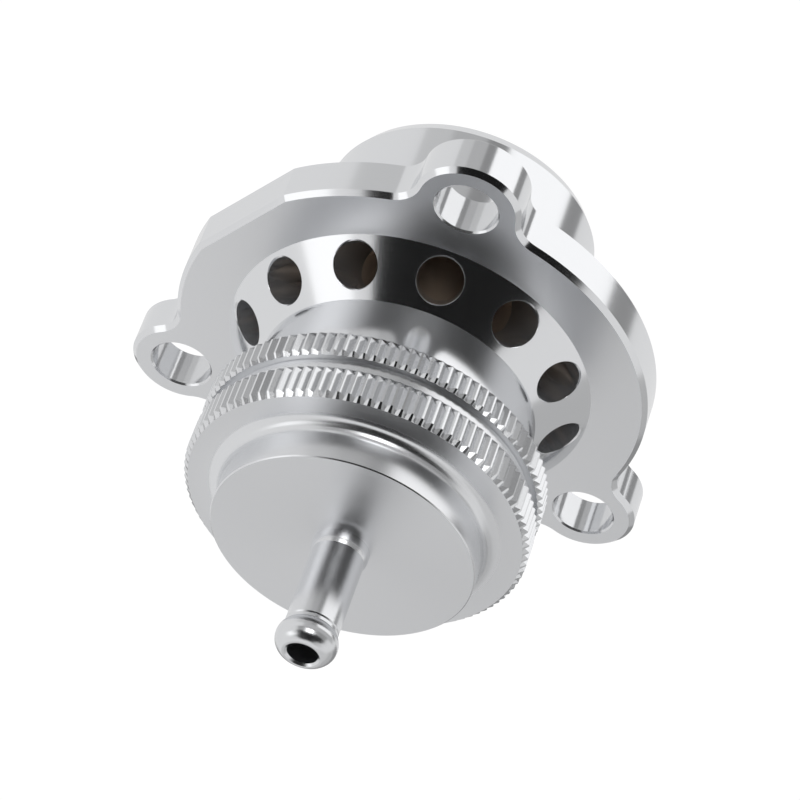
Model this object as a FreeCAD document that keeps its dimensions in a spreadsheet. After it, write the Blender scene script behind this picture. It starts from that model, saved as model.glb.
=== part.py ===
import FreeCAD, Part
import math
import os

import Sketcher

# Flanged piston blow off valve. Millimetres, +Z along the valve axis towards the hose nipple.
# The origin is the centre of the flange's rear mounting face, where the bolt circle is measured.

doc = FreeCAD.newDocument("blow_off_valve")
sheet = doc.addObject("Spreadsheet::Sheet", "sizes")

SIZES = [
    # Flange: a round plate with three bolt lugs and one flat on its edge
    ("flange_diameter", 55.0),
    ("flange_thickness", 4.8),
    ("flange_edge_chamfer", 0.55),
    ("flat_distance", 26.5),
    ("flat_direction", 150.0),
    ("bolt_circle", 57.0),
    ("bolt_hole", 7.0),
    ("bolt_hole_chamfer", 0.2),
    ("bolt_count", 3),
    ("lug_radius", 6.0),
    ("lug_fillet", 3.5),
    # Vented cone and neck in front of the flange
    ("cone_base", 42.2),
    ("cone_height", 5.0),
    ("neck_diameter", 32.0),
    ("vent_hole", 5.3),
    ("vent_circle", 37.4),
    ("vent_angle", 45.0),
    ("vent_chamfer", 0.2),
    ("vent_count", 12),
    # Knurled rim of the body, and the short threaded spigot that carries the cap
    ("rim_front", 21.0),
    ("rim_width", 3.2),
    ("rim_diameter", 39.3),
    ("rim_chamfer", 0.45),
    ("knurl_teeth", 104),
    ("knurl_depth", 0.55),
    ("knurl_groove", 0.95),
    ("cap_thread", 32.0),
    ("thread_clearance", 0.05),
    # Inlet spigot behind the flange
    ("spigot_diameter", 32.0),
    ("spigot_length", 18.8),
    ("lead_in_length", 1.6),
    ("lead_in_depth", 0.9),
    ("inlet_wall", 4.0),
    ("inlet_taper", 1.5),
    ("seat_width", 2.5),
    ("throat_length", 2.5),
    ("seat_depth", 5.0),
    ("spigot_ring_section", 2.0),
    ("spigot_ring_proud", 0.4),
    ("spigot_groove_width", 2.6),
    ("spigot_groove_place", 4.8),
    # Cylinder bore and piston
    ("cylinder_wall", 3.0),
    ("piston_clearance", 0.05),
    ("piston_stroke", 8.0),
    ("piston_stop_gap", 0.3),
    ("waist_gap", 1.7),
    ("waist_top", 5.8),
    ("nose_gap", 0.3),
    ("nose_thickness", 2.4),
    ("nose_lift", 0.35),
    ("nose_dimple_diameter", 3.0),
    ("nose_dimple_depth", 0.8),
    ("cup_wall", 1.5),
    ("cup_floor", 2.6),
    ("ring_section", 1.8),
    ("ring_groove_width", 2.3),
    ("guide_ring_width", 2.4),
    ("guide_ring_thickness", 1.0),
    ("guide_ring_split", 4.0),
    ("ring_land", 0.9),
    ("seal_setback", 0.95),
    ("seal_groove_width", 1.7),
    ("seal_groove_depth", 1.3),
    ("fit_gap", 0.03),
    # Cap
    ("shoulder_diameter", 37.0),
    ("shoulder_height", 1.75),
    ("cap_knurl_width", 4.25),
    ("cap_knurl_chamfer", 0.6),
    ("cap_wall", 1.7),
    ("gasket_thickness", 0.8),
    ("gasket_gap", 0.3),
    ("boss_diameter", 30.0),
    ("boss_height", 4.85),
    ("boss_edge", 0.15),
    ("cove_radius", 1.6),
    ("boss_wall", 3.0),
    ("pocket_gap", 1.8),
    # Spring and the washers at its top
    ("spring_wire", 1.6),
    ("spring_gap", 0.6),
    ("spring_turns", 7),
    ("washer_thickness", 1.0),
    ("washer_cover", 3.7),
    ("washer_gap", 0.3),
    ("shim_thickness", 1.0),
    # Hose nipple
    ("nipple_length", 15.0),
    ("nipple_tube", 6.0),
    ("nipple_bore", 3.5),
    ("nipple_collar", 6.5),
    ("nipple_collar_height", 1.0),
    ("nipple_collar_taper", 0.5),
    ("nipple_shank", 5.5),
    ("bulb_round", 2.0),
    ("bulb_diameter", 7.0),
    ("bulb_setback", 1.85),
    ("bulb_relief_width", 0.3),
    ("bulb_relief_depth", 0.1),
    ("bulb_relief_place", 0.35),
    ("bore_chamfer", 0.25),
    # How far a cutting shape reaches past the face that it starts from
    ("cut_margin", 1.0),
]

for row, (alias, value) in enumerate(SIZES, start=1):
    sheet.set(f"A{row}", alias)
    sheet.set(f"B{row}", str(value))
    sheet.setAlias(f"B{row}", alias)
workings = doc.addObject("Spreadsheet::Sheet", "workings")
doc.recompute()

# Two lengths that differ by less are the same
TINY = 1e-4


def size(alias):
    """Value of one driving dimension, in millimetres or degrees."""
    return float(sheet.get(alias))


def bound(text):
    """Expression with every driving dimension written as a cell of the sheet."""
    names = sorted((alias for alias, _ in SIZES), key=len, reverse=True)
    out = ""
    word = ""
    for letter in text + " ":
        if letter.isalnum() or letter == "_":
            word += letter
            continue
        out += f"sizes.{word}" if word in names else word
        out += letter
        word = ""
    return out.strip()


def value_of(text):
    """Number that an expression over the driving dimensions gives."""
    workings.set("A1", f"={bound(text)}")
    workings.recompute()
    return float(workings.get("A1"))


def new_body(label):
    """Empty body for one turned or milled piece."""
    body = doc.addObject("PartDesign::Body", label)
    body.Label = label
    return body


def origin_part(body, role):
    """Plane or axis of a body's own origin."""
    return next(o for o in body.Origin.OriginFeatures if o.Role == role)


def new_sketch(body, name, plane):
    """Sketch on one of the body's origin planes."""
    sketch = body.newObject("Sketcher::SketchObject", name)
    sketch.AttachmentSupport = (origin_part(body, plane), [""])
    sketch.MapMode = "FlatFace"
    return sketch


def place_point(sketch, geometry, end, across, along):
    """Fixes one end of a line or arc at the place that two expressions give."""
    for kind, text in (("DistanceX", across), ("DistanceY", along)):
        row = sketch.addConstraint(Sketcher.Constraint(kind, -1, 1, geometry, end, value_of(text)))
        sketch.setExpression(f"Constraints[{row}]", bound(text))


def outline(sketch, points):
    """Closed outline through points given as expressions.

    A point is (across, along). A third value makes the edge that leaves the point an arc:
    its radius, as an expression, with a minus sign for an arc that turns clockwise.
    """
    places = [FreeCAD.Vector(value_of(p[0]), value_of(p[1]), 0) for p in points]
    edges = []
    for index, point in enumerate(points):
        start = places[index]
        end = places[(index + 1) % len(points)]
        if len(point) == 2:
            edges.append(sketch.addGeometry(Part.LineSegment(start, end)))
            continue
        radius = value_of(point[2].lstrip("-"))
        turn = -1 if point[2].startswith("-") else 1
        chord = end - start
        middle = (start + end) * 0.5
        reach = math.sqrt(max(radius ** 2 - (chord.Length / 2) ** 2, 0.0))
        side = FreeCAD.Vector(-chord.y, chord.x, 0).normalize() * turn
        centre = middle + side * reach
        bulge = middle - side * (radius - reach)
        edges.append(sketch.addGeometry(Part.Arc(start, bulge, end)))
        row = sketch.addConstraint(Sketcher.Constraint("Radius", edges[-1], radius))
        sketch.setExpression(f"Constraints[{row}]", bound(point[2].lstrip("-")))
    for index, point in enumerate(points):
        edge = edges[index]
        before = edges[index - 1]
        start_end = end_towards(sketch, edge, places[index])
        last_end = end_towards(sketch, before, places[index])
        sketch.addConstraint(Sketcher.Constraint("Coincident", before, last_end, edge, start_end))
        place_point(sketch, edge, start_end, point[0], point[1])
    return edges


def end_towards(sketch, edge, place):
    """Which end of an edge, 1 or 2, lies at a place."""
    return min((1, 2), key=lambda end: sketch.getPoint(edge, end).distanceToPoint(place))


def turned(body, name, points):
    """Piece turned about the Z axis from its half section, given as radius and height."""
    sketch = new_sketch(body, f"{name}_section", "XZ_Plane")
    outline(sketch, points)
    turning = body.newObject("PartDesign::Revolution", name)
    turning.Profile = sketch
    turning.ReferenceAxis = (sketch, ["V_Axis"])
    turning.Angle = 360
    body.Tip = turning
    doc.recompute()
    return turning


def around(body, name, feature, count):
    """Repeats a feature evenly round the Z axis."""
    pattern = body.newObject("PartDesign::PolarPattern", name)
    pattern.Originals = [feature]
    pattern.Axis = (origin_part(body, "Z_Axis"), [""])
    pattern.Angle = 360
    pattern.setExpression("Occurrences", bound(count))
    body.Tip = pattern
    doc.recompute()
    return pattern


def knurl(body, name, radius, low, high):
    """Straight knurl: V grooves milled along the axis, round an edge of the given radius."""
    sketch = new_sketch(body, f"{name}_groove", "XY_Plane")
    outline(sketch, [
        (f"{radius} - knurl_depth", "0"),
        (f"{radius} + knurl_depth", "-knurl_groove"),
        (f"{radius} + knurl_depth", "knurl_groove"),
    ])
    sketch.setExpression("AttachmentOffset.Base.z", bound(low))
    cut = body.newObject("PartDesign::Pocket", f"{name}_tooth_space")
    cut.Profile = sketch
    cut.Reversed = True
    cut.setExpression("Length", bound(f"{high} - ({low})"))
    doc.recompute()
    return around(body, name, cut, "knurl_teeth")


def round_outline(sketch, radius, across, along):
    """Circle given by expressions."""
    centre = FreeCAD.Vector(value_of(across), value_of(along), 0)
    circle = sketch.addGeometry(Part.Circle(centre, FreeCAD.Vector(0, 0, 1), value_of(radius)))
    row = sketch.addConstraint(Sketcher.Constraint("Radius", circle, value_of(radius)))
    sketch.setExpression(f"Constraints[{row}]", bound(radius))
    place_point(sketch, circle, 3, across, along)


def pushed(body, name, kind, sketch, length, reversed_way):
    """Pad or pocket of a sketch, its length given as an expression."""
    feature = body.newObject(kind, name)
    feature.Profile = sketch
    feature.Reversed = reversed_way
    feature.setExpression("Length", bound(length))
    body.Tip = feature
    doc.recompute()
    return feature


def bored(body, name, sketch, axis):
    """Hole cut by turning a sketch about one of its own axes."""
    cut = body.newObject("PartDesign::Groove", name)
    cut.Profile = sketch
    cut.ReferenceAxis = (sketch, [axis])
    cut.Angle = 360
    body.Tip = cut
    doc.recompute()
    return cut


def dressed(body, name, kind, base, edges, property_name, length):
    """Fillet or chamfer of chosen edges."""
    feature = body.newObject(kind, name)
    feature.Base = (base, edges)
    feature.setExpression(property_name, bound(length))
    body.Tip = feature
    doc.recompute()
    return feature


def upright(edge):
    """True for a straight edge that runs along Z."""
    return isinstance(edge.Curve, Part.Line) and abs(abs(edge.Curve.Direction.z) - 1) < TINY


def edge_radius(edge):
    """Distance of an edge's middle from the Z axis."""
    middle = edge.valueAt((edge.FirstParameter + edge.LastParameter) / 2)
    return math.hypot(middle.x, middle.y)


def rubber_ring(label, radius, section, height):
    """Round-section ring about the Z axis."""
    ring = doc.addObject("Part::Torus", label)
    ring.Label = label
    ring.setExpression("Radius1", bound(radius))
    ring.setExpression("Radius2", bound(f"({section}) / 2"))
    ring.setExpression("Placement.Base.z", bound(height))


def flat_ring(label, outside, inside, height, thickness):
    """Flat washer or gasket about the Z axis."""
    disc = doc.addObject("Part::Cylinder", f"{label}_disc")
    hole = doc.addObject("Part::Cylinder", f"{label}_hole")
    for cylinder, radius in ((disc, outside), (hole, inside)):
        cylinder.setExpression("Radius", bound(radius))
        cylinder.setExpression("Height", bound(thickness))
        cylinder.setExpression("Placement.Base.z", bound(height))
    ring = doc.addObject("Part::Cut", label)
    ring.Label = label
    ring.Base = disc
    ring.Tool = hole


# What slides in the cylinder bore takes its size from the bore, one wall or gap after another.
CYLINDER_BORE = "(spigot_diameter - 2 * cylinder_wall)"
THROAT_BORE = f"({CYLINDER_BORE} - 2 * seat_width)"
WAIST = f"({CYLINDER_BORE} - 2 * waist_gap)"
CUP_BORE = f"({WAIST} - 2 * cup_wall)"
SPRING_DIAMETER = f"({CUP_BORE} - 2 * spring_gap)"
SPRING_POCKET = f"({SPRING_DIAMETER} + 2 * pocket_gap)"

# Valve body: one aluminium turning with the flange, cone, neck, knurled rim and inlet spigot.
CAP_TOP = "rim_front + shoulder_height + cap_knurl_width"
CAP_LEDGE = f"{CAP_TOP} - cap_wall"
BOSS_TOP = f"{CAP_TOP} + boss_height"
BOSS_CEILING = f"{BOSS_TOP} - boss_wall"
BODY_TOP = f"{CAP_LEDGE} - gasket_thickness"
RIM_REAR = "rim_front - rim_width"
RING_GROOVE_FLOOR = "spigot_diameter / 2 + spigot_ring_proud - spigot_ring_section"
RING_GROOVE_REAR = "-spigot_groove_place - spigot_groove_width / 2"
RING_GROOVE_FRONT = "-spigot_groove_place + spigot_groove_width / 2"
CONE_SLOPE = "cone_height / (cone_base - neck_diameter)"
VENT_HEIGHT = f"flange_thickness + (cone_base - vent_circle) * {CONE_SLOPE}"
VENT_REACH = f"(vent_circle - {CYLINDER_BORE}) / 2 / cos(vent_angle) + vent_hole"

valve_body = new_body("valve_body")
turned(valve_body, "body_turning", [
    ("spigot_diameter / 2 - inlet_wall", "-spigot_length"),
    ("spigot_diameter / 2 - lead_in_depth", "-spigot_length"),
    ("spigot_diameter / 2", "lead_in_length - spigot_length"),
    ("spigot_diameter / 2", RING_GROOVE_REAR),
    (RING_GROOVE_FLOOR, RING_GROOVE_REAR),
    (RING_GROOVE_FLOOR, RING_GROOVE_FRONT),
    ("spigot_diameter / 2", RING_GROOVE_FRONT),
    ("spigot_diameter / 2", "0"),
    ("flange_diameter / 2", "0"),
    ("flange_diameter / 2", "flange_thickness"),
    ("cone_base / 2", "flange_thickness"),
    ("neck_diameter / 2", "flange_thickness + cone_height"),
    ("neck_diameter / 2", RIM_REAR),
    ("rim_diameter / 2 - rim_chamfer", RIM_REAR),
    ("rim_diameter / 2", f"{RIM_REAR} + rim_chamfer"),
    ("rim_diameter / 2", "rim_front - rim_chamfer"),
    ("rim_diameter / 2 - rim_chamfer", "rim_front"),
    ("cap_thread / 2 - thread_clearance", "rim_front"),
    ("cap_thread / 2 - thread_clearance", BODY_TOP),
    (f"{CYLINDER_BORE} / 2", BODY_TOP),
    (f"{CYLINDER_BORE} / 2", "-seat_depth"),
    (f"{THROAT_BORE} / 2", "-seat_depth"),
    (f"{THROAT_BORE} / 2", "-seat_depth - throat_length"),
    ("spigot_diameter / 2 - inlet_wall", "-seat_depth - throat_length - inlet_taper"),
])

# Bolt lugs: one round ear on the +Y side, repeated, blended into the plate by concave fillets.
lug_sketch = new_sketch(valve_body, "lug_circle", "XY_Plane")
round_outline(lug_sketch, "lug_radius", "0", "bolt_circle / 2")
lug = pushed(valve_body, "lug", "PartDesign::Pad", lug_sketch, "flange_thickness", False)
lugs = around(valve_body, "lugs", lug, "bolt_count")
lug_roots = [
    f"Edge{number}"
    for number, edge in enumerate(lugs.Shape.Edges, start=1)
    if upright(edge) and abs(edge.Length - size("flange_thickness")) < TINY
    and abs(edge_radius(edge) - size("flange_diameter") / 2) < TINY
]
dressed(valve_body, "lug_blends", "PartDesign::Fillet", lugs, lug_roots, "Radius", "lug_fillet")

# Flat milled on the flange's edge, square to its own direction.
flat_sketch = new_sketch(valve_body, "flat_waste", "XY_Plane")
flat_sketch.AttachmentOffset = FreeCAD.Placement(
    FreeCAD.Vector(), FreeCAD.Rotation(FreeCAD.Vector(0, 0, 1), size("flat_direction")))
flat_sketch.setExpression("AttachmentOffset.Rotation.Angle", bound("flat_direction"))
outline(flat_sketch, [
    ("flat_distance", "-flange_diameter / 4"),
    ("flange_diameter / 2 + cut_margin", "-flange_diameter / 4"),
    ("flange_diameter / 2 + cut_margin", "flange_diameter / 4"),
    ("flat_distance", "flange_diameter / 4"),
])
flat = pushed(valve_body, "edge_flat", "PartDesign::Pocket", flat_sketch, "flange_thickness", True)

# Bevel all round the front edge of the flange, lugs and flat.
front_edges = [
    f"Edge{number}"
    for number, edge in enumerate(flat.Shape.Edges, start=1)
    if abs(edge.BoundBox.ZMin - size("flange_thickness")) < TINY
    and abs(edge.BoundBox.ZMax - size("flange_thickness")) < TINY
    and edge_radius(edge) > size("cone_base") / 2 + TINY
]
dressed(valve_body, "flange_bevel", "PartDesign::Chamfer", flat, front_edges, "Size", "flange_edge_chamfer")

# Bolt holes through the lugs, with a small countersink at each face.
bolt_sketch = new_sketch(valve_body, "bolt_hole_section", "YZ_Plane")
bolt_sketch.setExpression("AttachmentOffset.Base.x", bound("bolt_circle / 2"))
outline(bolt_sketch, [
    ("0", "-cut_margin"),
    ("bolt_hole / 2 + bolt_hole_chamfer", "-cut_margin"),
    ("bolt_hole / 2 + bolt_hole_chamfer", "0"),
    ("bolt_hole / 2", "bolt_hole_chamfer"),
    ("bolt_hole / 2", "flange_thickness - bolt_hole_chamfer"),
    ("bolt_hole / 2 + bolt_hole_chamfer", "flange_thickness"),
    ("bolt_hole / 2 + bolt_hole_chamfer", "flange_thickness + cut_margin"),
    ("0", "flange_thickness + cut_margin"),
])
bolt_hole = bored(valve_body, "bolt_hole_cut", bolt_sketch, "V_Axis")
around(valve_body, "bolt_holes", bolt_hole, "bolt_count")

# Vent holes: drilled square to the cone, from its face into the cylinder bore.
vent_sketch = new_sketch(valve_body, "vent_section", "XZ_Plane")
vent_sketch.AttachmentOffset = FreeCAD.Placement(
    FreeCAD.Vector(), FreeCAD.Rotation(FreeCAD.Vector(0, 0, 1), size("vent_angle")))
vent_sketch.setExpression("AttachmentOffset.Base.x", bound("vent_circle / 2"))
vent_sketch.setExpression("AttachmentOffset.Base.y", bound(VENT_HEIGHT))
vent_sketch.setExpression("AttachmentOffset.Rotation.Angle", bound("vent_angle"))
outline(vent_sketch, [
    (f"-({VENT_REACH})", "0"),
    ("cut_margin", "0"),
    ("cut_margin", "vent_hole / 2 + vent_chamfer"),
    ("0", "vent_hole / 2 + vent_chamfer"),
    ("-vent_chamfer", "vent_hole / 2"),
    (f"-({VENT_REACH})", "vent_hole / 2"),
])
vent = bored(valve_body, "vent_cut", vent_sketch, "H_Axis")
around(valve_body, "vents", vent, "vent_count")
knurl(valve_body, "rim_knurl", "rim_diameter / 2", RIM_REAR, "rim_front")

# Cap: a turned cup that screws over the body, with its own knurled rim and a raised boss.
cap = new_body("cap")
turned(cap, "cap_turning", [
    ("cap_thread / 2", "rim_front"),
    ("shoulder_diameter / 2", "rim_front"),
    ("shoulder_diameter / 2", "rim_front + shoulder_height"),
    ("rim_diameter / 2 - rim_chamfer", "rim_front + shoulder_height"),
    ("rim_diameter / 2", "rim_front + shoulder_height + rim_chamfer"),
    ("rim_diameter / 2", f"{CAP_TOP} - cap_knurl_chamfer"),
    ("rim_diameter / 2 - cap_knurl_chamfer", CAP_TOP),
    ("boss_diameter / 2 + cove_radius", CAP_TOP, "-cove_radius"),
    ("boss_diameter / 2", f"{CAP_TOP} + cove_radius"),
    ("boss_diameter / 2", f"{BOSS_TOP} - boss_edge"),
    ("boss_diameter / 2 - boss_edge", BOSS_TOP),
    ("nipple_shank / 2", BOSS_TOP),
    ("nipple_shank / 2", BOSS_CEILING),
    (f"{SPRING_POCKET} / 2", BOSS_CEILING),
    (f"{SPRING_POCKET} / 2", CAP_LEDGE),
    ("cap_thread / 2", CAP_LEDGE),
])
knurl(cap, "cap_knurl", "rim_diameter / 2", "rim_front + shoulder_height", CAP_TOP)

# Hose nipple: turned with a seating collar and a rounded bulb, pressed into the cap.
TIP = f"{BOSS_TOP} + nipple_length"
COLLAR_TOP = f"{BOSS_TOP} + nipple_collar_height"
BULB_CENTRE = f"{TIP} - bulb_setback"
BULB_CORE = "bulb_diameter / 2 - bulb_round"
BULB_START = f"{BULB_CENTRE} - sqrt(bulb_round ^ 2 - (nipple_tube / 2 - ({BULB_CORE})) ^ 2)"
BULB_END = f"{BULB_CORE} + sqrt(bulb_round ^ 2 - bulb_setback ^ 2)"
RELIEF = f"{BULB_START} - bulb_relief_place"
nipple = new_body("hose_nipple")
turned(nipple, "nipple_turning", [
    ("nipple_bore / 2", BOSS_CEILING),
    ("nipple_shank / 2 - fit_gap", BOSS_CEILING),
    ("nipple_shank / 2 - fit_gap", BOSS_TOP),
    ("nipple_collar / 2", BOSS_TOP),
    ("nipple_collar / 2", COLLAR_TOP),
    ("nipple_tube / 2", f"{COLLAR_TOP} + nipple_collar_taper"),
    ("nipple_tube / 2", f"{RELIEF} - bulb_relief_width"),
    ("nipple_tube / 2 - bulb_relief_depth", f"{RELIEF} - bulb_relief_width / 2"),
    ("nipple_tube / 2", RELIEF),
    ("nipple_tube / 2", BULB_START, "bulb_round"),
    (BULB_END, TIP),
    ("nipple_bore / 2 + bore_chamfer", TIP),
    ("nipple_bore / 2", f"{TIP} - bore_chamfer"),
])

# Piston: a turned cup, open to the cap. Its head carries the rings and its nose closes the throat.
PISTON_TOP = f"{CAP_LEDGE} - piston_stroke - piston_stop_gap"
NOSE_FACE = "-seat_depth + nose_lift"
NOSE_BACK = f"{NOSE_FACE} + nose_thickness"
CUP_FLOOR = f"{NOSE_FACE} + cup_floor"
HEAD = f"{CYLINDER_BORE} / 2 - piston_clearance"
RING_OUTSIDE = f"{CYLINDER_BORE} / 2 - fit_gap"
RING_FLOOR = f"{RING_OUTSIDE} - ring_section"
GUIDE_FLOOR = f"{RING_OUTSIDE} - guide_ring_thickness"
LOWER_RING = "waist_top + ring_land"
GUIDE_RING = f"{LOWER_RING} + ring_groove_width + ring_land"
UPPER_RING = f"{GUIDE_RING} + guide_ring_width + ring_land"
SEAL_RADIUS = f"({THROAT_BORE} / 2 + seal_setback)"
SEAL_INSIDE = f"{SEAL_RADIUS} - seal_groove_width / 2"
SEAL_OUTSIDE = f"{SEAL_RADIUS} + seal_groove_width / 2"
NOSE = f"{CYLINDER_BORE} / 2 - nose_gap"


def groove(floor, low, width):
    """Points of a square groove in the piston's head, from below to above."""
    return [(HEAD, low), (floor, low), (floor, f"{low} + {width}"), (HEAD, f"{low} + {width}")]


piston = new_body("piston")
turned(piston, "piston_turning", [
    ("0", f"{NOSE_FACE} + nose_dimple_depth"),
    ("nose_dimple_diameter / 2", NOSE_FACE),
    (SEAL_INSIDE, NOSE_FACE),
    (SEAL_INSIDE, f"{NOSE_FACE} + seal_groove_depth"),
    (SEAL_OUTSIDE, f"{NOSE_FACE} + seal_groove_depth"),
    (SEAL_OUTSIDE, NOSE_FACE),
    (NOSE, NOSE_FACE),
    (NOSE, NOSE_BACK),
    (f"{WAIST} / 2", NOSE_BACK),
    (f"{WAIST} / 2", "waist_top"),
    (HEAD, "waist_top"),
    *groove(RING_FLOOR, LOWER_RING, "ring_groove_width"),
    *groove(GUIDE_FLOOR, GUIDE_RING, "guide_ring_width"),
    *groove(RING_FLOOR, UPPER_RING, "ring_groove_width"),
    (HEAD, PISTON_TOP),
    (f"{CUP_BORE} / 2", PISTON_TOP),
    (f"{CUP_BORE} / 2", CUP_FLOOR),
    ("0", CUP_FLOOR),
])

# Guide ring: a split band of slippery plastic that keeps the piston off the bore.
guide = new_body("guide_ring")
guide_turning = turned(guide, "guide_turning", [
    (GUIDE_FLOOR, GUIDE_RING),
    (RING_OUTSIDE, GUIDE_RING),
    (RING_OUTSIDE, f"{GUIDE_RING} + guide_ring_width"),
    (GUIDE_FLOOR, f"{GUIDE_RING} + guide_ring_width"),
])
guide_turning.setExpression("Angle", bound("360 - guide_ring_split"))

# Rubber rings: round section, sitting on the floors of their grooves.
rubber_ring("piston_ring_lower", f"{RING_OUTSIDE} - ring_section / 2", "ring_section",
            f"{LOWER_RING} + ring_groove_width / 2")
rubber_ring("piston_ring_upper", f"{RING_OUTSIDE} - ring_section / 2", "ring_section",
            f"{UPPER_RING} + ring_groove_width / 2")
SEAL_SECTION = "seal_groove_depth + nose_lift - fit_gap"
rubber_ring("nose_ring", SEAL_RADIUS, SEAL_SECTION,
            f"{NOSE_FACE} + seal_groove_depth - ({SEAL_SECTION}) / 2")
rubber_ring("spigot_ring", f"{RING_GROOVE_FLOOR} + spigot_ring_section / 2", "spigot_ring_section",
            "-spigot_groove_place")

# Flat rings: the gasket on the body's end, and the shim and thrust washer over the spring.
GASKET_INSIDE = f"{CYLINDER_BORE} / 2 + gasket_gap"
flat_ring("cap_gasket", "cap_thread / 2 - gasket_gap", GASKET_INSIDE, BODY_TOP, "gasket_thickness")
WASHER_OUTSIDE = f"{SPRING_POCKET} / 2 - washer_gap"
WASHER_HOLE = f"{SPRING_DIAMETER} / 2 - washer_cover"
SHIM_REAR = f"{BOSS_CEILING} - shim_thickness"
WASHER_REAR = f"{SHIM_REAR} - washer_thickness"
flat_ring("preload_shim", WASHER_OUTSIDE, WASHER_HOLE, SHIM_REAR, "shim_thickness")
flat_ring("thrust_washer", WASHER_OUTSIDE, WASHER_HOLE, WASHER_REAR, "washer_thickness")

# Spring: a right-hand coil between the cup's floor and the thrust washer, both ends ground flat.
# Each half turn is a half torus that leans over, so that it climbs half a pitch.
SPRING_LENGTH = f"({WASHER_REAR} - ({CUP_FLOOR}))"
COIL_RADIUS = f"({SPRING_DIAMETER} - spring_wire) / 2"
HALF_RISE = f"{SPRING_LENGTH} / spring_turns / 2"
LEAN = f"atan({HALF_RISE} / 2 / ({COIL_RADIUS}))"
half_turns = []
for index in range(2 * int(size("spring_turns"))):
    half = doc.addObject("Part::Torus", f"spring_half_turn_{index + 1}")
    half.Angle3 = 180
    half.setExpression("Radius1", bound(f"{COIL_RADIUS} / cos({LEAN})"))
    half.setExpression("Radius2", bound("spring_wire / 2"))
    half.setExpression("Placement.Base.z", bound(f"{CUP_FLOOR} + ({index} + 0.5) * {HALF_RISE}"))
    if index % 2 == 0:
        half.Placement.Rotation = FreeCAD.Rotation(FreeCAD.Vector(0, 1, 0), value_of(LEAN))
        half.setExpression("Placement.Rotation.Angle", bound(LEAN))
    else:
        half.Placement.Rotation = FreeCAD.Rotation(FreeCAD.Vector(0, 0, 1), 180)
        half.setExpression("Placement.Rotation.Axis.x", bound(f"-sin({LEAN} / 2)"))
        half.setExpression("Placement.Rotation.Axis.z", bound(f"cos({LEAN} / 2)"))
    half_turns.append(half)
coil = doc.addObject("Part::MultiFuse", "spring_coil")
coil.Shapes = half_turns
ground = doc.addObject("Part::Cylinder", "spring_ground_length")
ground.setExpression("Radius", bound(SPRING_DIAMETER))
ground.setExpression("Height", bound(SPRING_LENGTH))
ground.setExpression("Placement.Base.z", bound(CUP_FLOOR))
spring = doc.addObject("Part::Common", "piston_spring")
spring.Base = coil
spring.Tool = ground
doc.recompute()

NODES = [
    valve_body, cap, nipple, piston, guide, spring,
    *[doc.getObject(name) for name in (
        "piston_ring_lower", "piston_ring_upper", "nose_ring", "spigot_ring",
        "cap_gasket", "preload_shim", "thrust_washer",
    )],
]

doc.removeObject("workings")
doc.recompute()
failed = [o.Name for o in doc.Objects if {"Invalid", "Error"} & set(o.State)]
if failed:
    raise RuntimeError(f"objects failed: {failed}")
os.makedirs("parts", exist_ok=True)
for node in NODES:
    shape = node.Shape
    if shape.isNull() or not shape.isValid() or not shape.Solids:
        raise RuntimeError(f"{node.Label} has no valid solid")
    shape.exportStep(f"parts/{node.Label}.step")
    print(node.Label, len(shape.Solids), len(shape.Faces), round(shape.Volume, 2))
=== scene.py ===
import math

import bmesh
import bpy
from mathutils import Matrix, Vector


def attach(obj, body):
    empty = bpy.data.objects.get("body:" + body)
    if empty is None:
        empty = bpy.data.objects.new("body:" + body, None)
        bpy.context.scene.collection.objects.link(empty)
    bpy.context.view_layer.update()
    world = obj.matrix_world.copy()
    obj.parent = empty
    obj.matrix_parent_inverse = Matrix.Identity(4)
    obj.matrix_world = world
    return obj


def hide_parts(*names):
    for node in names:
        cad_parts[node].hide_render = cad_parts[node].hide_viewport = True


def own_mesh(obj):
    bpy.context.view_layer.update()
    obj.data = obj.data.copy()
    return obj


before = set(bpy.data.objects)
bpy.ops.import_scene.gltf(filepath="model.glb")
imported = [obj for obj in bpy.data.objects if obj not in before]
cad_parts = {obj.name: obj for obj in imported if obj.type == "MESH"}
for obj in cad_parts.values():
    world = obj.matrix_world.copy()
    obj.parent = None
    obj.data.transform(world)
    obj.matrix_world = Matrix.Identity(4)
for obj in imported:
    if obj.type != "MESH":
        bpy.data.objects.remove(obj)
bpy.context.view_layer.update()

# Camera: a long lens low over one bolt lug, rolled so that the hose nipple points down and to the left.
# The valve's axis is +Z, and lengths are written in millimetres and turned to metres by MM.
MM = 0.001
CAMERA_TILT = math.radians(51.674)
CAMERA_ROLL = math.radians(20.315)
CAMERA_LENS = 187.48
CAMERA_REACH = Vector((6.375, 16.0725, 452.34)) * MM
BOSS_TOP = 31.85
camera = bpy.data.objects.new("camera", bpy.data.cameras.new("camera"))
camera.data.lens = CAMERA_LENS
camera.data.clip_start = 1 * MM
camera.matrix_world = (
    Matrix.Translation((0, 0, BOSS_TOP * MM))
    @ Matrix.Rotation(-CAMERA_TILT, 4, "X")
    @ Matrix.Rotation(CAMERA_ROLL, 4, "Z")
    @ Matrix.Translation(CAMERA_REACH)
)
bpy.context.scene.collection.objects.link(camera)
bpy.context.scene.camera = camera


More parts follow.
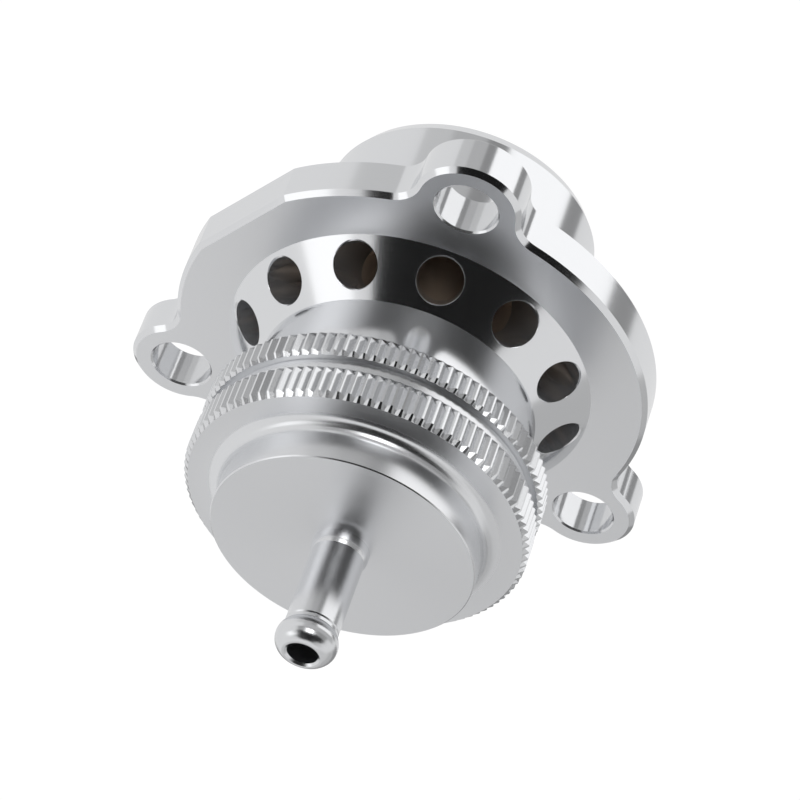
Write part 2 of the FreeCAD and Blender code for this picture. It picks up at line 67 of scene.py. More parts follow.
# Valve body: one bar of aluminium, turned, knurled, drilled and clear anodised. The flange has three
# bolt lugs and one milled flat, the cone carries twelve slanted vents, and the spigot goes into the housing.
FLANGE_RADIUS = 27.5
FLANGE_THICKNESS = 4.8
FLANGE_CHAMFER = 0.55
LUG_PLACE = 28.5
LUG_RADIUS = 6.0
LUG_BLEND = 3.5
LUG_DIRECTIONS = (90, 210, 330)
FLAT_PLACE = 26.5
FLAT_DIRECTION = 150
BOLT_HOLE = 3.5
BOLT_COUNTERSINK = 0.2
CONE_BASE = 21.1
CONE_HEIGHT = 5.0
NECK_RADIUS = 16.0
RIM_REAR = 17.8
RIM_FRONT = 21.0
RIM_RADIUS = 19.65
RIM_CHAMFER = 0.45
BODY_TOP = 24.5
THREAD_CREST = 15.95
THREAD_ROOT = 15.4
THREAD_PITCH = 1.0
THREAD_TURNS = 3
THREAD_START = 0.3
THREAD_CREST_START = 0.45
THREAD_CREST_END = 0.6
THREAD_CHAMFER = 0.1
SPIGOT_END = -18.8
LEAD_IN = 1.6
LEAD_IN_DEPTH = 0.9
INLET_RADIUS = 12.0
INLET_START = -9.0
THROAT_RADIUS = 10.5
THROAT_END = -7.5
BORE_RADIUS = 13.0
SEAT = -5.0
EDGE_BREAK = 0.12
RING_GROOVE_FLOOR = 14.4
RING_GROOVE_FRONT = -3.5
RING_GROOVE_REAR = -6.1
KNURL_TEETH = 104
KNURL_DEPTH = 0.55
KNURL_CREST = 0.2
KNURL_COLUMNS = 3
ROUND_STEPS = KNURL_COLUMNS * KNURL_TEETH
PLATE_STEPS = 96
BLEND_STEPS = 14
LUG_STEPS = 48
VENT_RADIUS = 2.65
VENT_EDGE = 0.15
VENT_FLARE = 0.225
VENT_FLARE_TOP = 0.075
VENT_PLACE = 18.7
VENT_SLANT = 45
VENT_REACH = 10.8
VENTS = 12
DRILL_TOP = 1.0
DRILL_STEPS = 64
# Points nearer to each other than a weld become one. SLACK and LEVEL are how near counts as at a height.
WELD = 0.002
OUTLINE_WELD = 0.01
SLACK = 0.01
LEVEL = 0.001
SHARP = math.radians(14)
# Places of the finishes in the body's list, after the plain turned one
DRILLED = 1
KNURLED = 2
FACED = 3


def section(shape, points, closed=False):
    """Wire through (radius, height) points of the XZ plane. A third value cuts the corner by that much."""
    verts = [shape.verts.new((point[0] * MM, 0, point[1] * MM)) for point in points]
    for start, end in zip(verts, verts[1:] + (verts[:1] if closed else [])):
        shape.edges.new((start, end))
    cuts = [(vert, point[2]) for vert, point in zip(verts, points) if len(point) > 2]
    for vert, cut in cuts:
        bmesh.ops.bevel(shape, geom=[vert], offset=cut * MM, affect="VERTICES",
                        segments=1, profile=0.5, material=-1)


def spin_about_axis(shape, steps, centre=(0, 0, 0)):
    """Turns everything in the bmesh once about a line along Z."""
    bmesh.ops.spin(shape, geom=shape.verts[:] + shape.edges[:], cent=centre, axis=(0, 0, 1),
                   angle=2 * math.pi, steps=steps, use_merge=True)
    bmesh.ops.remove_doubles(shape, verts=shape.verts, dist=WELD * MM)


def knurl(shape, low, high, floor_radius, finish):
    """Cuts straight V teeth into a rim.

    Every third column of points drops to the groove's floor, and the two between close up to a crest.
    """
    pitch = 2 * math.pi / KNURL_TEETH
    columns = {}
    for vert in shape.verts:
        radius = math.hypot(vert.co.x, vert.co.y) / MM
        if low - SLACK < vert.co.z / MM < high + SLACK and radius > floor_radius + SLACK:
            column = round(math.atan2(vert.co.y, vert.co.x) / (pitch / KNURL_COLUMNS)) % KNURL_COLUMNS
            columns.setdefault((column, round(radius, 3)), []).append(vert)
    for (column, radius), verts in columns.items():
        if column == KNURL_COLUMNS - 1:
            factor = floor_radius / radius
            bmesh.ops.scale(shape, vec=(factor, factor, 1), verts=verts)
        else:
            shift = (0.5 - column) * (1 / KNURL_COLUMNS - KNURL_CREST) * pitch
            bmesh.ops.rotate(shape, matrix=Matrix.Rotation(shift, 3, "Z"), verts=verts)
    for face in shape.faces:
        middle = face.calc_center_median() / MM
        if low - SLACK < middle.z < high + SLACK and math.hypot(middle.x, middle.y) > floor_radius:
            face.material_index = finish


def finished(name, shape, body, *nodes):
    """Object made of a bmesh, smooth but for its sharp edges, riding on a body in place of CAD nodes."""
    bmesh.ops.recalc_face_normals(shape, faces=shape.faces)
    mesh = bpy.data.meshes.new(name)
    shape.to_mesh(mesh)
    shape.free()
    piece = bpy.data.objects.new(name, mesh)
    bpy.context.scene.collection.objects.link(piece)
    smooth(mesh)
    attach(piece, body)
    if nodes:
        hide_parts(*nodes)
    return piece


def smooth(mesh):
    """Round faces shade smooth, and corners stay crisp."""
    for face in mesh.polygons:
        face.use_smooth = True
    mesh.set_sharp_from_angle(angle=SHARP)


thread = []
for turn in range(THREAD_TURNS):
    root = RIM_FRONT + THREAD_START + turn * THREAD_PITCH
    thread += [
        (THREAD_ROOT, root),
        (THREAD_CREST, root + THREAD_CREST_START),
        (THREAD_CREST, root + THREAD_CREST_END),
    ]
core = bmesh.new()
section(core, [
    (CONE_BASE, FLANGE_THICKNESS),
    (NECK_RADIUS, FLANGE_THICKNESS + CONE_HEIGHT),
    (NECK_RADIUS, RIM_REAR),
    (RIM_RADIUS - RIM_CHAMFER, RIM_REAR),
    (RIM_RADIUS, RIM_REAR + RIM_CHAMFER),
    (RIM_RADIUS, RIM_FRONT - RIM_CHAMFER),
    (RIM_RADIUS - RIM_CHAMFER, RIM_FRONT),
    (THREAD_ROOT, RIM_FRONT),
    *thread,
    (THREAD_ROOT, BODY_TOP - THREAD_CHAMFER),
    (THREAD_ROOT - THREAD_CHAMFER, BODY_TOP),
    (BORE_RADIUS, BODY_TOP, EDGE_BREAK),
    (BORE_RADIUS, SEAT),
    (THROAT_RADIUS, SEAT, EDGE_BREAK),
    (THROAT_RADIUS, THROAT_END),
    (INLET_RADIUS, INLET_START),
    (INLET_RADIUS, SPIGOT_END, 2 * EDGE_BREAK),
    (NECK_RADIUS - LEAD_IN_DEPTH, SPIGOT_END, EDGE_BREAK),
    (NECK_RADIUS, SPIGOT_END + LEAD_IN),
    (NECK_RADIUS, RING_GROOVE_REAR, EDGE_BREAK),
    (RING_GROOVE_FLOOR, RING_GROOVE_REAR),
    (RING_GROOVE_FLOOR, RING_GROOVE_FRONT),
    (NECK_RADIUS, RING_GROOVE_FRONT, EDGE_BREAK),
    (NECK_RADIUS, 0),
])
spin_about_axis(core, ROUND_STEPS)
knurl(core, RIM_REAR, RIM_FRONT, RIM_RADIUS - KNURL_DEPTH, KNURLED)

# The flange's edge: arcs of the plate, the blends and the lugs, each spun on from the last point. The
# triangle between the centres of the plate, a lug and its blend gives their angles.
to_plate = FLANGE_RADIUS + LUG_BLEND
to_lug = LUG_RADIUS + LUG_BLEND
blend_angle = math.acos((LUG_PLACE ** 2 + to_plate ** 2 - to_lug ** 2) / (2 * LUG_PLACE * to_plate))
blend_sweep = math.acos((to_plate ** 2 + to_lug ** 2 - LUG_PLACE ** 2) / (2 * to_plate * to_lug))
plate_sweep = 2 * math.pi / len(LUG_DIRECTIONS) - 2 * blend_angle
lug_sweep = 2 * (blend_angle + blend_sweep)


def at(radius, angle, height=0.0):
    """Point at a radius in millimetres and an angle in radians about the valve's axis."""
    return Vector((radius * math.cos(angle), radius * math.sin(angle), height)) * MM


def lies_at(line, height):
    """Whether both ends of an edge lie at a height in millimetres."""
    return all(abs(vert.co.z - height * MM) < LEVEL * MM for vert in line.verts)


def join(shape, other):
    """Moves the contents of one bmesh into another."""
    mesh = bpy.data.meshes.new("part")
    other.to_mesh(mesh)
    other.free()
    shape.from_mesh(mesh)
    bpy.data.meshes.remove(mesh)


edge = bmesh.new()
tip = edge.verts.new(at(FLANGE_RADIUS, math.radians(LUG_DIRECTIONS[-1]) + blend_angle))
for direction in map(math.radians, LUG_DIRECTIONS):
    arcs = (
        (Vector(), plate_sweep, PLATE_STEPS),
        (at(to_plate, direction - blend_angle), -blend_sweep, BLEND_STEPS),
        (at(LUG_PLACE, direction), lug_sweep, LUG_STEPS),
        (at(to_plate, direction + blend_angle), -blend_sweep, BLEND_STEPS),
    )
    for centre, sweep, steps in arcs:
        made = bmesh.ops.spin(edge, geom=[tip], cent=centre, axis=(0, 0, 1), angle=sweep, steps=steps)
        tip = next(item for item in made["geom_last"] if isinstance(item, bmesh.types.BMVert))
bmesh.ops.remove_doubles(edge, verts=edge.verts, dist=OUTLINE_WELD * MM)
bmesh.ops.contextual_create(edge, geom=edge.edges)
flat_normal = at(1 / MM, math.radians(FLAT_DIRECTION))
bmesh.ops.bisect_plane(edge, geom=edge.verts[:] + edge.edges[:] + edge.faces[:],
                       plane_co=flat_normal * FLAT_PLACE * MM, plane_no=flat_normal, clear_outer=True)
raised = bmesh.ops.extrude_face_region(edge, geom=edge.faces[:])["geom"]
bmesh.ops.translate(edge, vec=(0, 0, FLANGE_THICKNESS * MM),
                    verts=[item for item in raised if isinstance(item, bmesh.types.BMVert)])
for height, cut in ((FLANGE_THICKNESS, FLANGE_CHAMFER), (0, EDGE_BREAK)):
    rims = [line for line in edge.edges if lies_at(line, height)]
    bmesh.ops.bevel(edge, geom=rims, offset=cut * MM, affect="EDGES", segments=1, profile=0.5, material=-1)
# The two flat faces go, and are filled again round the bolt holes and the turned middle
bmesh.ops.delete(edge, geom=[face for face in edge.faces if len(face.verts) > 4], context="FACES_ONLY")
join(core, edge)

# Bolt holes, lightly countersunk at both faces
for direction in map(math.radians, LUG_DIRECTIONS):
    hole = bmesh.new()
    section(hole, [
        (LUG_PLACE + BOLT_HOLE + BOLT_COUNTERSINK, 0),
        (LUG_PLACE + BOLT_HOLE, BOLT_COUNTERSINK),
        (LUG_PLACE + BOLT_HOLE, FLANGE_THICKNESS - BOLT_COUNTERSINK),
        (LUG_PLACE + BOLT_HOLE + BOLT_COUNTERSINK, FLANGE_THICKNESS),
    ])
    spin_about_axis(hole, DRILL_STEPS, (LUG_PLACE * MM, 0, 0))
    for face in hole.faces:
        face.material_index = DRILLED
    bmesh.ops.rotate(hole, matrix=Matrix.Rotation(direction, 3, "Z"), verts=hole.verts)
    join(core, hole)
for height in (0, FLANGE_THICKNESS):
    open_edges = [line for line in core.edges if line.is_boundary and lies_at(line, height)]
    bmesh.ops.triangle_fill(core, edges=open_edges, use_beauty=True, normal=(0, 0, 1))
body = finished("valve_body_turned", core, "housing", "valve_body")

# Vents: a drill of the vents' size, its tip flared for the broken edge, taken out of the cone on a slant
drill = bmesh.new()
section(drill, [
    (0, -VENT_REACH),
    (VENT_RADIUS, -VENT_REACH),
    (VENT_RADIUS, -VENT_EDGE),
    (VENT_RADIUS + VENT_FLARE, VENT_FLARE_TOP),
    (VENT_RADIUS + VENT_FLARE, DRILL_TOP),
    (0, DRILL_TOP),
])
spin_about_axis(drill, DRILL_STEPS)
bmesh.ops.rotate(drill, matrix=Matrix.Rotation(math.radians(VENT_SLANT), 3, "Y"), verts=drill.verts)
vent_height = FLANGE_THICKNESS + (CONE_BASE - VENT_PLACE) * CONE_HEIGHT / (CONE_BASE - NECK_RADIUS)
bmesh.ops.translate(drill, vec=(VENT_PLACE * MM, 0, vent_height * MM), verts=drill.verts)
bmesh.ops.recalc_face_normals(drill, faces=drill.faces)
for face in drill.faces:
    face.material_index = DRILLED
bmesh.ops.spin(drill, geom=drill.faces[:] + drill.edges[:] + drill.verts[:], cent=(0, 0, 0), axis=(0, 0, 1),
               angle=2 * math.pi * (VENTS - 1) / VENTS, steps=VENTS - 1, use_duplicate=True)
drills = bpy.data.objects.new("drills", bpy.data.meshes.new("drills"))
drill.to_mesh(drills.data)
drill.free()
bpy.context.scene.collection.objects.link(drills)
drilling = body.modifiers.new("drilling", "BOOLEAN")
drilling.object = drills
drilling.operation = "DIFFERENCE"
drilling.solver = "EXACT"
bpy.context.view_layer.update()
drilled = bpy.data.meshes.new_from_object(body.evaluated_get(bpy.context.evaluated_depsgraph_get()))
body.modifiers.clear()
body.data = drilled
bpy.data.objects.remove(drills)
smooth(drilled)


# Clear anodised aluminium: how much its roughness swings from one lathe line to the next, and how square
# to the axis a face has to lie to get the finish of a facing cut
ALUMINIUM = "#E6E7E9"
LINE_SWING = 0.08
SQUARE = 0.999


def colour(code):
    """Linear colour of an sRGB hex code."""
    parts = [int(code[i:i + 2], 16) / 255 for i in (1, 3, 5)]
    return (*(part / 12.92 if part <= 0.04045 else ((part + 0.055) / 1.055) ** 2.4 for part in parts), 1)


def add(material, kind, values=(), links=(), **settings):
    """Adds a shader node with its settings, the values of its sockets and the outputs linked to them."""
    node = material.node_tree.nodes.new("ShaderNode" + kind)
    for name, value in settings.items():
        setattr(node, name, value)
    for socket, value in values:
        node.inputs[socket].default_value = value
    for socket, source in links:
        material.node_tree.links.new(source, node.inputs[socket])
    return node


def mottle(material, noise, roughness, swing):
    """Lets a noise swing the roughness up and down by a share of itself, and returns the output."""
    spread = [("From Min", 0.3), ("From Max", 0.7), ("To Min", roughness * (1 - swing)),
              ("To Max", roughness * (1 + swing))]
    return add(material, "MapRange", spread, [("Value", noise)]).outputs[0]


def metal(name, tint, roughness, anisotropic, line, depth, metallic=1.0):
    """Turned metal: lathe lines of a width in millimetres run round the axis and stretch the highlights."""
    material = bpy.data.materials.new(name)
    material.use_nodes = True
    shader = material.node_tree.nodes["Principled BSDF"]
    place = add(material, "TexCoord").outputs["Object"]
    flat = add(material, "VectorMath", [(1, (1, 1, 0))], [(0, place)], operation="MULTIPLY").outputs[0]
    radius = add(material, "VectorMath", links=[(0, flat)], operation="LENGTH").outputs["Value"]
    height = add(material, "SeparateXYZ", links=[(0, place)]).outputs["Z"]
    run = add(material, "CombineXYZ", links=[("X", radius), ("Y", height)]).outputs[0]
    lines = add(material, "TexNoise", [("Scale", 1 / (line * MM)), ("Detail", 3.0), ("Roughness", 0.6)],
                [("Vector", run)])
    bands = mottle(material, lines.outputs["Fac"], roughness, LINE_SWING)
    bump = add(material, "Bump", [("Strength", 1.0), ("Distance", depth * MM)],
               [("Height", lines.outputs["Fac"])])
    shader.inputs["Base Color"].default_value = colour(tint)
    shader.inputs["Metallic"].default_value = metallic
    shader.inputs["Anisotropic"].default_value = anisotropic
    links = material.node_tree.links
    links.new(bands, shader.inputs["Roughness"])
    links.new(bump.outputs[0], shader.inputs["Normal"])
    if anisotropic:
        grain = add(material, "Tangent", direction_type="RADIAL", axis="Z")
        links.new(grain.outputs[0], shader.inputs["Tangent"])
    return material


def face_off(mesh, finish):
    """Gives the faces that lie square to the axis the satin of a facing cut."""
    for face in mesh.polygons:
        if face.material_index == 0 and abs(face.normal.z) > SQUARE:
            face.material_index = finish


turned_aluminium = metal("turned_clear_anodised_aluminium", ALUMINIUM,
                         roughness=0.13, anisotropic=0.5, line=0.2, depth=0.0002)
faced_aluminium = metal("faced_clear_anodised_aluminium", ALUMINIUM,
                        roughness=0.3, anisotropic=0.6, line=0.2, depth=0.0001)
drilled_aluminium = metal("drilled_clear_anodised_aluminium", ALUMINIUM,
                          roughness=0.14, anisotropic=0.0, line=0.3, depth=0.006, metallic=0.85)
knurled_aluminium = metal("knurled_clear_anodised_aluminium", ALUMINIUM,
                          roughness=0.2, anisotropic=0.0, line=0.2, depth=0.0001)
for material in (turned_aluminium, drilled_aluminium, knurled_aluminium, faced_aluminium):
    body.data.materials.append(material)
face_off(body.data, FACED)


# Cap: a turned and knurled aluminium cup that screws over the body by hand and sets the spring's preload.
# A cove leads up to its raised boss.
SHOULDER_RADIUS = 18.5
SHOULDER_TOP = 22.75
CAP_TOP = 27.0
CAP_CHAMFER = 0.6
CAP_LEDGE = 25.3
BOSS_RADIUS = 15.0
COVE = 1.6
COVE_STEPS = 12
SPRING_POCKET = 11.0
POCKET_TOP = 28.85
CAP_BORE = 16.0
CAP_THREAD_FLOOR = 16.5
CAP_THREAD_START = 0.6
CAP_THREAD_MIDDLE = 0.45
CAP_THREAD_END = 0.9
NIPPLE_SHANK = 2.75
# Places of the finishes in the cap's list, after the satin one
CAP_KNURLED = 1
CAP_FACED = 2


def arc(radius, height, bend, first, last, steps):
    """Section points on an arc about (radius, height), from the first to the last angle in radians."""
    turns = (first + (last - first) * step / steps for step in range(steps + 1))
    return [(radius + bend * math.cos(turn), height + bend * math.sin(turn)) for turn in turns]


inner_thread = []
for turn in range(THREAD_TURNS):
    root = CAP_LEDGE - CAP_THREAD_START - turn * THREAD_PITCH
    inner_thread += [
        (CAP_BORE, root),
        (CAP_THREAD_FLOOR, root - CAP_THREAD_MIDDLE),
        (CAP_BORE, root - CAP_THREAD_END),
    ]
cup = bmesh.new()
section(cup, [
    (CAP_BORE, RIM_FRONT, EDGE_BREAK),
    (SHOULDER_RADIUS, RIM_FRONT, EDGE_BREAK),
    (SHOULDER_RADIUS, SHOULDER_TOP),
    (RIM_RADIUS - RIM_CHAMFER, SHOULDER_TOP),
    (RIM_RADIUS, SHOULDER_TOP + RIM_CHAMFER),
    (RIM_RADIUS, CAP_TOP - CAP_CHAMFER),
    (RIM_RADIUS - CAP_CHAMFER, CAP_TOP),
    *arc(BOSS_RADIUS + COVE, CAP_TOP + COVE, COVE, -math.pi / 2, -math.pi, COVE_STEPS),
    (BOSS_RADIUS, BOSS_TOP, EDGE_BREAK),
    (NIPPLE_SHANK, BOSS_TOP),
    (NIPPLE_SHANK, POCKET_TOP),
    (SPRING_POCKET, POCKET_TOP),
    (SPRING_POCKET, CAP_LEDGE),
    (CAP_THREAD_FLOOR, CAP_LEDGE),
    *inner_thread,
], closed=True)
spin_about_axis(cup, ROUND_STEPS)
knurl(cup, SHOULDER_TOP, CAP_TOP, RIM_RADIUS - KNURL_DEPTH, CAP_KNURLED)
cap = finished("cap_turned", cup, "cap", "cap")
satin_aluminium = metal("satin_turned_clear_anodised_aluminium", ALUMINIUM,
                        roughness=0.24, anisotropic=0.6, line=0.2, depth=0.0002)
for material in (satin_aluminium, knurled_aluminium, faced_aluminium):
    cap.data.materials.append(material)
face_off(cap.data, CAP_FACED)


# Hose nipple: a small turned and polished tube, pressed into the cap's boss as far as its collar. A fine
# relief groove runs round under the bulb that holds the vacuum hose.
NIPPLE_COLLAR = 3.25
COLLAR_TOP = 32.85
TAPER_TOP = 33.35
NIPPLE_TUBE = 3.0
NIPPLE_BORE = 1.75
NIPPLE_BORE_CHAMFER = 0.25
NIPPLE_TIP = 46.85
SHANK_CLEARANCE = 0.03
RELIEF = 43.18
RELIEF_DEPTH = 0.12
BULB_CENTRE = 45.0
BULB_CORE = 1.5
BULB_ROUND = 2.0
BULB_FOOT = 43.677
BULB_FROM = math.asin((BULB_FOOT - BULB_CENTRE) / BULB_ROUND)
BULB_TO = math.asin((NIPPLE_TIP - BULB_CENTRE) / BULB_ROUND)
BULB_STEPS = 24
NIPPLE_STEPS = 128

stem = bmesh.new()
section(stem, [
    (NIPPLE_BORE, POCKET_TOP),
    (NIPPLE_SHANK - SHANK_CLEARANCE, POCKET_TOP),
    (NIPPLE_SHANK - SHANK_CLEARANCE, BOSS_TOP),
    (NIPPLE_COLLAR, BOSS_TOP),
    (NIPPLE_COLLAR, COLLAR_TOP, EDGE_BREAK),
    (NIPPLE_TUBE, TAPER_TOP),
    (NIPPLE_TUBE, RELIEF - RELIEF_DEPTH),
    (NIPPLE_TUBE - RELIEF_DEPTH, RELIEF),
    (NIPPLE_TUBE, RELIEF + RELIEF_DEPTH),
    *arc(BULB_CORE, BULB_CENTRE, BULB_ROUND, BULB_FROM, BULB_TO, BULB_STEPS),
    (NIPPLE_BORE + NIPPLE_BORE_CHAMFER, NIPPLE_TIP),
    (NIPPLE_BORE, NIPPLE_TIP - NIPPLE_BORE_CHAMFER),
], closed=True)
spin_about_axis(stem, NIPPLE_STEPS)
nipple = finished("hose_nipple_turned", stem, "cap", "hose_nipple")
nickel_plate = metal("polished_nickel_plate", "#E4E5E7",
                     roughness=0.22, anisotropic=0.5, line=0.2, depth=0.0002)
nipple.data.materials.append(nickel_plate)


# Piston: a turned aluminium cup, hard anodised to a dark bronze grey. It slides on two rubber rings and a
# split guide ring, and its nose closes the throat with a rubber ring of its own.
PISTON_TOP = 17.0
PISTON_HEAD = 12.95
WAIST = 11.3
WAIST_TOP = 5.8
NOSE = 12.7
NOSE_FACE = -4.65
NOSE_BACK = -2.25
SEAL_GROOVE = (10.6, 12.3)
SEAL_DEPTH = 1.3
CUP_RADIUS = 9.8
CUP_FLOOR = -2.05
# Each groove of the head: its lower and upper height and the radius of its floor
HEAD_GROOVES = ((6.7, 9.0, 11.17), (9.9, 12.3, 11.97), (13.2, 15.5, 11.17))
DIMPLE = 1.5
DIMPLE_DEPTH = 0.8
PISTON_STEPS = 192

plunger = bmesh.new()
section(plunger, [
    (0, NOSE_FACE + DIMPLE_DEPTH),
    (DIMPLE, NOSE_FACE),
    (SEAL_GROOVE[0], NOSE_FACE),
    (SEAL_GROOVE[0], NOSE_FACE + SEAL_DEPTH),
    (SEAL_GROOVE[1], NOSE_FACE + SEAL_DEPTH),
    (SEAL_GROOVE[1], NOSE_FACE),
    (NOSE, NOSE_FACE, EDGE_BREAK),
    (NOSE, NOSE_BACK, EDGE_BREAK),
    (WAIST, NOSE_BACK),
    (WAIST, WAIST_TOP),
    (PISTON_HEAD, WAIST_TOP, EDGE_BREAK),
    *[point for low, high, floor in HEAD_GROOVES
      for point in ((PISTON_HEAD, low), (floor, low), (floor, high), (PISTON_HEAD, high))],
    (PISTON_HEAD, PISTON_TOP, EDGE_BREAK),
    (CUP_RADIUS, PISTON_TOP, EDGE_BREAK),
    (CUP_RADIUS, CUP_FLOOR),
    (0, CUP_FLOOR),
])
spin_about_axis(plunger, PISTON_STEPS)
piston = finished("piston_turned", plunger, "piston", "piston")
bronze_grey = metal("hard_anodised_bronze_grey", "#B5A290",
                    roughness=0.35, anisotropic=0.4, line=0.25, depth=0.001, metallic=0.4)
piston.data.materials.append(bronze_grey)


# Spring: oil-tempered steel wire, coiled right-handed, its end turns ground flat. It stands in the
# piston's cup under a zinc plated washer and shim.
WIRE_RADIUS = 0.8
COIL_RADIUS = 8.4
COILS = 7
SPRING_TOP = 26.85
COIL_STEPS = 64
WIRE_STEPS = 20
WIRE_WELD = 0.001

coil = bmesh.new()
bmesh.ops.create_circle(coil, segments=WIRE_STEPS, radius=WIRE_RADIUS * MM)
bmesh.ops.rotate(coil, matrix=Matrix.Rotation(math.pi / 2, 3, "X"), verts=coil.verts)
bmesh.ops.translate(coil, vec=(COIL_RADIUS * MM, 0, CUP_FLOOR * MM), verts=coil.verts)
spring_length = SPRING_TOP - CUP_FLOOR
bmesh.ops.spin(coil, geom=coil.verts[:] + coil.edges[:], cent=(0, 0, 0), axis=(0, 0, 1),
               dvec=(0, 0, spring_length * MM / (COILS * COIL_STEPS)), angle=2 * math.pi * COILS,
               steps=COILS * COIL_STEPS)
for height, side in ((CUP_FLOOR, -1), (SPRING_TOP, 1)):
    bmesh.ops.bisect_plane(coil, geom=coil.verts[:] + coil.edges[:] + coil.faces[:],
                           plane_co=(0, 0, height * MM), plane_no=(0, 0, side), clear_outer=True)
bmesh.ops.remove_doubles(coil, verts=coil.verts, dist=WIRE_WELD * MM)
bmesh.ops.holes_fill(coil, edges=[line for line in coil.edges if line.is_boundary], sides=0)
spring = finished("piston_spring_coiled", coil, "spring_seat", "piston_spring")
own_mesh(spring)
spring_steel = metal("oil_tempered_spring_steel", "#7D8084",
                     roughness=0.35, anisotropic=0.0, line=0.6, depth=0.002)
spring.data.materials.append(spring_steel)


# Seals and washers: moulded nitrile rings on the spigot, in the piston's nose and on its head, a split guide
# ring of bronze-filled plastic, a gasket of pressed fibre under the cap, and a zinc plated washer and shim.
# The two modelled here are given as ring radius, height and section radius.
SPIGOT_RING = (15.4, -4.8, 1.0)
NOSE_RING = (11.45, -4.16, 0.81)
SEAL_STEPS = 192
SEAL_SECTION_STEPS = 24
GRAIN_SWING = 0.2


def soft(name, tint, roughness, grain, depth):
    """Rubber, plastic or fibre in one colour, with a moulded grain of a size in millimetres."""
    material = bpy.data.materials.new(name)
    material.use_nodes = True
    shader = material.node_tree.nodes["Principled BSDF"]
    place = add(material, "TexCoord").outputs["Object"]
    speck = add(material, "TexNoise", [("Scale", 1 / (grain * MM)), ("Detail", 4.0)], [("Vector", place)])
    shade = mottle(material, speck.outputs["Fac"], roughness, GRAIN_SWING)
    bump = add(material, "Bump", [("Strength", 1.0), ("Distance", depth * MM)],
               [("Height", speck.outputs["Fac"])])
    links = material.node_tree.links
    shader.inputs["Base Color"].default_value = colour(tint)
    links.new(shade, shader.inputs["Roughness"])
    links.new(bump.outputs[0], shader.inputs["Normal"])
    return material


nitrile = soft("moulded_nitrile_rubber", "#1C1C1D", roughness=0.55, grain=0.12, depth=0.004)
guide_plastic = soft("bronze_filled_plastic", "#7A5A38", roughness=0.5, grain=0.15, depth=0.003)
gasket_fibre = soft("pressed_fibre", "#4A5650", roughness=0.8, grain=0.3, depth=0.01)
washer_steel = metal("zinc_plated_steel", "#B9BCC0", roughness=0.3, anisotropic=0.3, line=0.3, depth=0.001)
for name, (radius, height, thickness), carrier, node in (
    ("spigot_ring_moulded", SPIGOT_RING, "housing", "spigot_ring"),
    ("nose_ring_moulded", NOSE_RING, "piston", "nose_ring"),
):
    loop = bmesh.new()
    bmesh.ops.create_circle(loop, segments=SEAL_SECTION_STEPS, radius=thickness * MM)
    bmesh.ops.rotate(loop, matrix=Matrix.Rotation(math.pi / 2, 3, "X"), verts=loop.verts)
    bmesh.ops.translate(loop, vec=(radius * MM, 0, height * MM), verts=loop.verts)
    spin_about_axis(loop, SEAL_STEPS)
    seal = finished(name, loop, carrier, node)
    seal.data.materials.append(nitrile)
INNER_FINISHES = {
    "piston_ring_lower": nitrile,
    "piston_ring_upper": nitrile,
    "guide_ring": guide_plastic,
    "cap_gasket": gasket_fibre,
    "preload_shim": washer_steel,
    "thrust_washer": washer_steel,
}
for node, finish in INNER_FINISHES.items():
    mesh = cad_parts[node].data
    mesh.materials.clear()
    mesh.materials.append(finish)


# Studio: a white floor, a pale tent, two soft lamps, and grey, black and white cards hung all round where the
# camera doesn't see them, so that the bright metal has light and dark to show. Its lengths are in metres.
FLOOR_SIZE = 3.0
PAPER = "#F4F4F4"
PAPER_ROUGHNESS = 0.9
TENT_GLOW = 0.81
TENT_REACH = 1.05
FLOOR_GLOW = 1.08
FLOOR_SHARE = 0.9
LAMP_REACH = 0.85
# Each lamp: its azimuth and elevation in degrees, width in metres and radiance
LAMPS = (
    (168, 37, 0.33, 0.45),
    (92, 19, 0.36, 2.6),
)
CARD_REACH = 0.95
# Each card: its finish, first and last azimuth, and lowest and highest elevation in degrees
CARDS = (
    ("black", 25, 139, 25, 50),
    ("black", 38, 152, 50, 78),
    ("pale_grey", 0, 38, 50, 75),
    ("dark_grey", 25, 135, 0, 25),
    ("mid_grey", 270, 340, 0, 25),
    ("pale_grey", 262, 337, 25, 62),
    ("dark_grey", 248, 337, -25, 0),
    ("mid_grey", 0, 120, -25, 0),
    ("white", 7, 74, -50, -25),
    ("dark_grey", 74, 93, -50, -25),
    ("mid_grey", 93, 122, -50, -25),
    ("pale_grey", 122, 146, -50, -25),
    ("dark_grey", 346, 367, -50, -25),
)
CARD_GLOW = {
    "black": 0.01,
    "dark_grey": 0.3,
    "mid_grey": 0.5,
    "pale_grey": 0.63,
    "tent": TENT_GLOW,
    "white": 1.2,
}
CARD_STEPS = 16


def looked_at(material):
    """1 where the camera sees the surface, straight or in metal or glass, and 0 where it lights the piece."""
    rays = add(material, "LightPath").outputs
    seen = rays["Is Camera Ray"]
    for other in ("Is Glossy Ray", "Is Transmission Ray"):
        seen = add(material, "Math", links=[(0, seen), (1, rays[other])], operation="MAXIMUM").outputs[0]
    return seen


floor_sheet = bmesh.new()
bmesh.ops.create_grid(floor_sheet, x_segments=1, y_segments=1, size=FLOOR_SIZE / 2)
bmesh.ops.translate(floor_sheet, vec=(0, 0, SPIGOT_END * MM), verts=floor_sheet.verts)
floor = bpy.data.objects.new("floor", bpy.data.meshes.new("floor"))
floor_sheet.to_mesh(floor.data)
floor_sheet.free()
bpy.context.scene.collection.objects.link(floor)
floor.visible_glossy = False
paper = bpy.data.materials.new("white_paper")
paper.use_nodes = True
paper_shader = paper.node_tree.nodes["Principled BSDF"]
paper_shader.inputs["Base Color"].default_value = colour(PAPER)
paper_shader.inputs["Roughness"].default_value = PAPER_ROUGHNESS
share = add(paper, "Math", [(1, FLOOR_SHARE)], [(0, looked_at(paper))], operation="MULTIPLY")
glow = add(paper, "Emission", [("Color", (1, 1, 1, 1)), ("Strength", FLOOR_GLOW)])
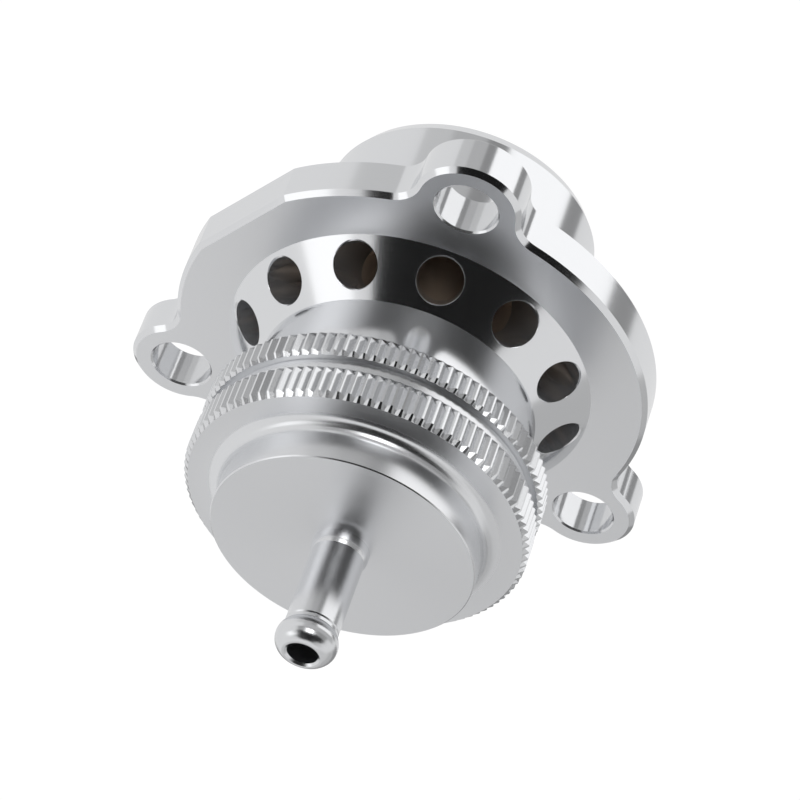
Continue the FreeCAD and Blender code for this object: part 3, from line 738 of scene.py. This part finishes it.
blend = add(paper, "MixShader",
            links=[(0, share.outputs[0]), (1, paper_shader.outputs[0]), (2, glow.outputs[0])])
paper.node_tree.links.new(blend.outputs[0], paper.node_tree.nodes["Material Output"].inputs["Surface"])
floor.data.materials.append(paper)

world = bpy.data.worlds.new("studio")
bpy.context.scene.world = world
world.use_nodes = True
background = world.node_tree.nodes["Background"]
background.inputs["Color"].default_value = (1, 1, 1, 1)
surround = add(world, "MapRange", [("To Min", TENT_GLOW), ("To Max", 1.0)], [("Value", looked_at(world))])
world.node_tree.links.new(surround.outputs[0], background.inputs["Strength"])

for number, (azimuth, elevation, width, radiance) in enumerate(LAMPS, start=1):
    lamp = bpy.data.objects.new(f"softbox_{number}", bpy.data.lights.new(f"softbox_{number}", "AREA"))
    lamp.data.size = width
    lamp.data.energy = radiance * math.pi * width ** 2
    lamp.matrix_world = (Matrix.Rotation(math.radians(azimuth), 4, "Z")
                         @ Matrix.Rotation(math.radians(90 - elevation), 4, "Y")
                         @ Matrix.Translation((0, 0, LAMP_REACH)))
    bpy.context.scene.collection.objects.link(lamp)


def hang(name, sheet, finish):
    """Hangs a glowing sheet round the piece, where the camera doesn't see it."""
    card = bpy.data.objects.new(name, bpy.data.meshes.new(name))
    sheet.to_mesh(card.data)
    sheet.free()
    card.data.materials.append(card_finishes[finish])
    card.visible_camera = False
    bpy.context.scene.collection.objects.link(card)


card_finishes = {}
for finish, strength in CARD_GLOW.items():
    card_finish = bpy.data.materials.new(f"{finish}_card")
    card_finish.use_nodes = True
    card_glow = add(card_finish, "Emission", [("Color", (1, 1, 1, 1)), ("Strength", strength)])
    card_finish.node_tree.links.new(card_glow.outputs[0],
                                    card_finish.node_tree.nodes["Material Output"].inputs["Surface"])
    card_finishes[finish] = card_finish
tent = bmesh.new()
bmesh.ops.create_icosphere(tent, subdivisions=3, radius=TENT_REACH)
hang("tent", tent, "tent")
for number, (finish, start, end, low, high) in enumerate(CARDS, start=1):
    sheet = bmesh.new()
    corner = sheet.verts.new((CARD_REACH, 0, 0))
    bmesh.ops.spin(sheet, geom=[corner], axis=(0, -1, 0), angle=math.radians(high - low), steps=CARD_STEPS)
    bmesh.ops.rotate(sheet, matrix=Matrix.Rotation(-math.radians(low), 3, "Y"), verts=sheet.verts)
    bmesh.ops.spin(sheet, geom=sheet.verts[:] + sheet.edges[:], axis=(0, 0, 1),
                   angle=math.radians(end - start), steps=CARD_STEPS)
    bmesh.ops.rotate(sheet, matrix=Matrix.Rotation(math.radians(start), 3, "Z"), verts=sheet.verts)
    hang(f"card_{number}", sheet, finish)

bpy.context.scene.view_settings.view_transform = "Standard"
